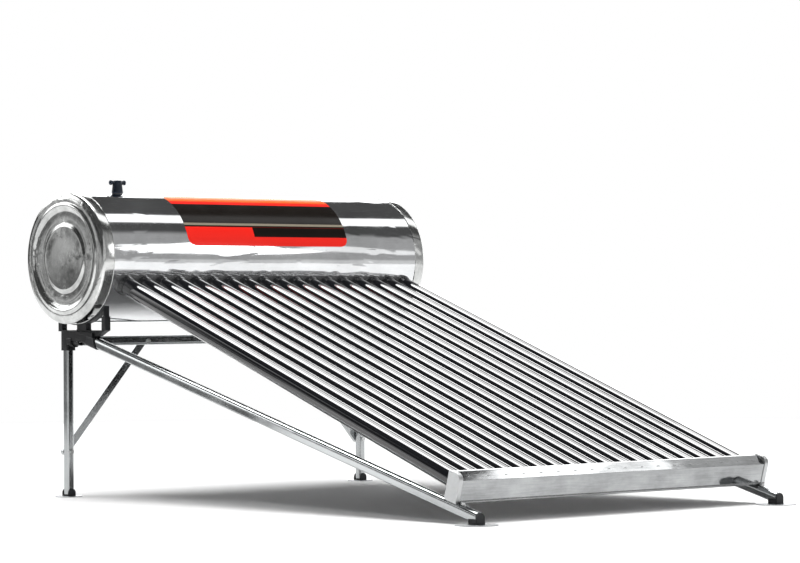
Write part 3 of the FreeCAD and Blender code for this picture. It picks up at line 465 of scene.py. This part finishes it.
def tank_frame(side=1, along=0.0):
    """Local Z along the tank, outwards on the given side, from a point along it."""
    turn = Vector((side, 0, 0)).to_track_quat("Z", "Y").to_matrix().to_4x4()
    return Matrix.Translation((0, AXIS_Y, AXIS_Z)) @ turn @ Matrix.Translation((0, 0, along))


# ---- tank ----
def build_shell():
    """Rolled outer sheet with its inner face, open at both ends for the caps."""
    half = SHELL_HIGH.x
    stations = 48
    heights = [half - 2 * half * i / stations for i in range(stations + 1)]
    outline = [(SHELL_RADIUS, h) for h in heights]
    outline += [(SHELL_RADIUS - SHEET, h) for h in reversed(heights)]
    shell = lathe("tank_shell_sheet", outline, tank_frame(), ROUND_STEPS, TANK_STEEL)
    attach(shell, "heater")
    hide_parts("tank_shell")


def cap_outline():
    """Outside of the pressed cap from hem to centre, as (radius, height from the skirt edge)."""
    face = CAP_FACE_X - SKIRT_X
    outer = SHELL_RADIUS + SHEET
    points = arc((HEM_RADIUS - HEM_ROUND, 0.0022), HEM_ROUND, -90, 90, 8)
    points += [(outer, 0.0045), (outer, face - CAP_DROP - 0.009)]
    for i in range(CORNER_STEPS + 1):
        a = math.radians(90.0 / CORNER_STEPS * i)
        points.append((outer - CAP_CORNER * (1 - math.cos(a)), face - CAP_DROP * (1 - math.sin(a))))
    points += [(CAP_BEAD + CAP_BEAD_ROUND, face + 0.0003)]
    points += arc((CAP_BEAD, face - 0.0045), CAP_BEAD_ROUND, 50, 130, 12)
    points += [(CAP_BEAD + inward, face - depth) for inward, depth in BEAD_TO_DISH]
    points += [(CAP_DISC + outward, face - depth) for outward, depth in DISH_TO_DISC]
    flat = CAP_DISC - 0.010
    points += [(flat, face + 0.0003)]
    for i in range(1, DOME_STEPS + 1):
        r = flat * (1 - i / DOME_STEPS)
        points.append((r, face + 0.0003 + CAP_DOME * (1 - (r / flat) ** 2)))
    return points


def build_cap(side, name):
    """One pressing: the outside outline, then the inside one sheet thickness below it."""
    outside = cap_outline()
    inside = [(0.0, outside[-1][1] - SHEET)]
    inside += [(r, h - SHEET) for r, h in reversed(outside[INSIDE_FROM:-1])
               if r < SHELL_RADIUS - 0.003]
    inside += [(SHELL_RADIUS - WALL_FIT, outside[WALL_TOP][1] - 0.004),
               (SHELL_RADIUS + WALL_FIT, 0.001)]
    cap = lathe(f"end_cap_{name}_pressing", outside + inside, tank_frame(side, SKIRT_X),
                ROUND_STEPS, CAP_STEEL, 50.0)
    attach(cap, "heater")
    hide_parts(f"tank_end_cap_{name}")


def build_label():
    """Curved film with rounded corners, a little above the sheet."""
    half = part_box("tank_label")[1].x
    radius = SHELL_RADIUS + LABEL_PROUD
    columns, rows = 96, 48
    middle = (LABEL_TOP + LABEL_BOTTOM) / 2
    span = (LABEL_TOP - LABEL_BOTTOM) / 2 * radius
    vertices, faces = [], []
    for r in (radius, SHELL_RADIUS + LABEL_GAP):
        for j in range(rows + 1):
            v = -span + 2 * span * j / rows
            inset = max(0.0, abs(v) - (span - LABEL_CORNER))
            reach = half - (LABEL_CORNER - math.sqrt(max(LABEL_CORNER ** 2 - inset ** 2, 0.0)))
            for i in range(columns + 1):
                x = -reach + 2 * reach * i / columns
                a = middle + v / radius
                vertices.append((x, AXIS_Y - r * math.cos(a), AXIS_Z + r * math.sin(a)))
    width = columns + 1
    size = width * (rows + 1)
    for j in range(rows):
        for i in range(columns):
            a = j * width + i
            faces.append((a, a + 1, a + width + 1, a + width))
            b = size + a
            faces.append((b + width, b + width + 1, b + 1, b))
    edge = list(range(columns)) + [j * width + columns for j in range(rows)]
    edge += [rows * width + i for i in range(columns, 0, -1)]
    edge += [j * width for j in range(rows, 0, -1)]
    for a, b in zip(edge, edge[1:] + edge[:1]):
        faces.append((b, a, size + a, size + b))
    label = add_mesh("tank_label_film", vertices, faces, LABEL)
    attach(label, "heater")
    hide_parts("tank_label")


# ---- evacuated tubes ----
def build_tube(number):
    """Glass tube with a round closed end and a bevelled mouth."""
    node = f"vacuum_tube_{number:02d}"
    low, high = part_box(node)
    tail = Vector(((low.x + high.x) / 2, low.y + TUBE_RADIUS, low.z + TUBE_RADIUS))
    uphill = Vector((0, math.cos(TUBE_SLOPE), math.sin(TUBE_SLOPE)))
    mouth = TUBE_LENGTH - TUBE_RADIUS
    outline = arc((0.0, 0.0), TUBE_RADIUS, -90, 0, 14)
    outline[0] = (0.0, -TUBE_RADIUS)
    outline += [(TUBE_RADIUS, mouth * i / TUBE_STATIONS) for i in range(1, TUBE_STATIONS)]
    outline += [(TUBE_RADIUS, mouth - MOUTH_LIP), (TUBE_RADIUS - MOUTH_LIP, mouth), (0.0, mouth)]
    turn = uphill.to_track_quat("Z", "Y").to_matrix().to_4x4()
    to_world = Matrix.Translation(tail) @ turn
    tube = lathe(f"glass_tube_{number:02d}", outline, to_world, TUBE_STEPS, GLASS)
    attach(tube, "heater")
    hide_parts(node)


# ---- studio ----
def build_floor():
    """Round pale floor, large enough to run out of every view."""
    steps = 96
    angles = [2 * math.pi * i / steps for i in range(steps)]
    ring = [(FLOOR_RADIUS * math.cos(a), FLOOR_RADIUS * math.sin(a), 0) for a in angles]
    made, n, s = material("floor_paper")
    clouds = n.noise(n.place(), scale=3.0, detail=3.0)
    n.link(n.mix(clouds, (0.86, 0.86, 0.86, 1), (0.90, 0.90, 0.90, 1)), s.inputs["Base Color"])
    s.inputs["Roughness"].default_value = 0.9
    s.inputs["Specular IOR Level"].default_value = 0.1
    add_mesh("studio_floor", ring, [list(range(steps))], made)


def build_flag():
    """Unseen black flag below the tubes that keeps the overhead light off the floor there."""
    low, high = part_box("vacuum_tube_01")
    half = -low.x - TUBE_RADIUS
    front, back = low.z - FLAG_DROP / 2, high.z - FLAG_DROP
    corners = [(-half, low.y, front), (half, low.y, front),
               (half, high.y, back), (-half, high.y, back)]
    made, n, s = material("flag_cloth")
    weave = n.noise(n.place(), scale=200.0)
    n.link(n.mix(weave, (0.02, 0.02, 0.02, 1), (0.03, 0.03, 0.03, 1)), s.inputs["Base Color"])
    flag = add_mesh("shadow_flag", corners, [(0, 1, 2, 3)], made)
    flag.visible_camera = False
    flag.visible_glossy = False
    flag.visible_diffuse = False


# Soft cards of the surround, each at its own direction: (x from, x to, turn from, turn to,
# softness, strength). x is the direction's X. turn and softness are in degrees, and turn is the
# angle about the X axis: 0 level in front (-Y), 90 overhead, 180 level behind.
CARDS = (
    (0.30, 1.10, 141.0, 173.0, 2.5, 3.4),
    (0.30, 1.10, 175.0, 190.0, 2.0, 0.5),
    (-0.66, 0.20, 137.0, 167.0, 3.0, 2.6),
    (-0.15, 0.15, 84.0, 130.0, 3.0, 14.0),
    (0.17, 0.54, 90.0, 139.0, 4.0, 4.2),
    (0.30, 1.10, 67.0, 84.0, 2.0, 1.9),
    (0.30, 0.86, -12.0, 46.0, 5.0, 0.34),
    (0.86, 1.10, -40.0, 50.0, 6.0, 0.9),
    (-1.10, 0.25, -30.0, 36.0, 6.0, 0.7),
    (-1.10, -0.30, 169.0, 204.0, 4.0, 0.48),
)
CARD_SIDE = 0.03             # softness of a card's two sides, in x
SHADE = 0.09                 # what is left between the cards
UNDER = 0.75                 # below the horizon, beyond the floor
FILL = 0.07                  # soft light on unpolished surfaces from all round
FRONT_FILL = 1.5             # the same from straight in front


def build_world():
    """Studio surround: white to the camera, cards in reflections, a soft fill for the rest."""
    world = bpy.data.worlds.new("studio")
    bpy.context.scene.world = world
    world.use_nodes = True
    n = Nodes(world.node_tree)
    out = n.add("ShaderNodeOutputWorld")
    view = n.add("ShaderNodeTexCoord").outputs["Generated"]
    direction = n.add("ShaderNodeSeparateXYZ")
    n.link(view, direction.inputs[0])
    across = direction.outputs["X"]
    forward = n.math("MULTIPLY", direction.outputs["Y"], -1.0)
    turn = n.math("ARCTAN2", direction.outputs["Z"], forward)
    turn = n.math("MULTIPLY", turn, 180 / math.pi)
    light = SHADE
    for x0, x1, t0, t1, soft, strength in CARDS:
        middle, half = (t0 + t1) / 2, (t1 - t0) / 2
        away = n.math("ABSOLUTE", n.math("SUBTRACT", turn, middle))
        away = n.math("MINIMUM", away, n.math("SUBTRACT", 360.0, away))
        inside = n.math("SUBTRACT", 1.0, n.step(away, half, soft))
        aside = n.math("ABSOLUTE", n.math("SUBTRACT", across, (x0 + x1) / 2))
        within = n.math("SUBTRACT", 1.0, n.step(aside, (x1 - x0) / 2, CARD_SIDE))
        inside = n.math("MULTIPLY", inside, within)
        light = n.math("ADD", light, n.math("MULTIPLY", inside, strength))

    # uneven patches on the left, which the pressed cap mirrors
    cloth = n.noise(view, scale=16.0, detail=3.0, roughness=0.55)
    patches = n.remap(cloth, 0.36, 0.66, 0.15, 1.9)
    left = n.math("SUBTRACT", 1.0, n.step(across, edge=-0.30, soft=0.1))
    uneven = n.math("ADD", n.math("SUBTRACT", 1.0, left), n.math("MULTIPLY", left, patches))
    light = n.math("MULTIPLY", light, uneven)

    # below the horizon
    low = n.math("SUBTRACT", 1.0, n.step(direction.outputs["Z"], edge=-0.02, soft=0.02))
    under = n.math("MULTIPLY", n.remap(across, -0.6, 0.5, 0.3, 1.0), UNDER)
    above = n.math("MULTIPLY", light, n.math("SUBTRACT", 1.0, low))
    light = n.math("ADD", above, n.math("MULTIPLY", under, low))

    # reflections see the cards, all other rays the fill, and the camera plain white
    rays = n.add("ShaderNodeLightPath")
    fill = n.remap(forward, 0.2, 1.0, FILL, FRONT_FILL)
    mirrored = n.math("SUBTRACT", light, fill)
    light = n.math("ADD", n.math("MULTIPLY", mirrored, rays.outputs["Is Glossy Ray"]), fill)
    surround = n.add("ShaderNodeBackground")
    surround.inputs["Color"].default_value = (1.0, 1.0, 1.0, 1)
    n.link(light, surround.inputs["Strength"])
    backdrop = n.add("ShaderNodeBackground")
    backdrop.inputs["Color"].default_value = (1.0, 1.0, 1.0, 1)
    backdrop.inputs["Strength"].default_value = 1.0
    chosen = n.add("ShaderNodeMixShader")
    n.link(rays.outputs["Is Camera Ray"], chosen.inputs[0])
    n.link(surround.outputs[0], chosen.inputs[1])
    n.link(backdrop.outputs[0], chosen.inputs[2])
    n.link(chosen.outputs[0], out.inputs[0])


def build_camera():
    """Long lens from the front left, a little higher than the tank's underside."""
    data = bpy.data.cameras.new("camera")
    data.sensor_width = CAMERA_SENSOR
    data.lens = CAMERA_LENS
    data.clip_end = 200.0
    camera = bpy.data.objects.new("camera", data)
    bpy.context.scene.collection.objects.link(camera)
    look = Vector((math.sin(CAMERA_AZIMUTH) * math.cos(CAMERA_PITCH),
                   math.cos(CAMERA_AZIMUTH) * math.cos(CAMERA_PITCH), math.sin(CAMERA_PITCH)))
    level = Vector((math.cos(CAMERA_AZIMUTH), -math.sin(CAMERA_AZIMUTH), 0))
    above = level.cross(look)
    right = math.cos(CAMERA_ROLL) * level + math.sin(CAMERA_ROLL) * above
    over = math.cos(CAMERA_ROLL) * above - math.sin(CAMERA_ROLL) * level
    turn = Matrix((right, over, -look)).transposed()
    x, y, z = CAMERA_PLACE
    camera.matrix_world = Matrix.Translation((x, AXIS_Y + y, z)) @ turn.to_4x4()
    bpy.context.scene.camera = camera


def add_light(name, kind, energy, direction):
    """Light of the given kind at the origin, shining along direction."""
    data = bpy.data.lights.new(name, kind)
    data.energy = energy
    light = bpy.data.objects.new(name, data)
    bpy.context.scene.collection.objects.link(light)
    light.rotation_mode = "QUATERNION"
    light.rotation_quaternion = direction.to_track_quat("-Z", "Y")
    return light


def overhead_light():
    """Even soft light from a little behind the zenith; it lights the floor but is not mirrored."""
    light = add_light("overhead", "SUN", SUN_ENERGY, Vector(SUN_DIRECTION))
    light.data.angle = SUN_ANGLE
    light.visible_glossy = False


def card_light(name, at, aim, size, radiance):
    """Area light given by how bright its face looks; it shows in reflections only."""
    energy = radiance * math.pi * size[0] * size[1]
    light = add_light(name, "AREA", energy, Vector(aim) - Vector(at))
    light.data.shape = "RECTANGLE"
    light.data.size, light.data.size_y = size
    light.location = at
    light.visible_camera = False
    light.visible_diffuse = False


def build_lights():
    """Overhead light for the floor, and near cards mirrored in the tank, rail and tray."""
    overhead_light()
    card_light("tank_card", at=(0.88, -0.78, 1.30), aim=(-0.45, 0.67, 0.82),
               size=(0.55, 0.50), radiance=1.3)
    card_light("rail_card", at=(-1.75, 0.40, 0.22), aim=(-0.66, -0.80, 0.15),
               size=(1.0, 0.42), radiance=0.6)
    card_light("tray_card", at=(0.95, -0.76, 1.24), aim=(0.0, -0.97, 0.13),
               size=(0.9, 0.6), radiance=2.3)
    card_light("tray_side_card", at=(1.72, -0.76, 1.24), aim=(0.8, -0.97, 0.13),
               size=(0.5, 0.6), radiance=0.7)


dress_nodes()
build_shell()
for cap_side, cap_name in ((-1, "left"), (1, "right")):
    build_cap(cap_side, cap_name)
build_label()
for tube_number in range(1, TUBE_COUNT + 1):
    build_tube(tube_number)
build_floor()
build_flag()
build_world()
build_lights()
build_camera()
bpy.context.scene.view_settings.view_transform = "Standard"
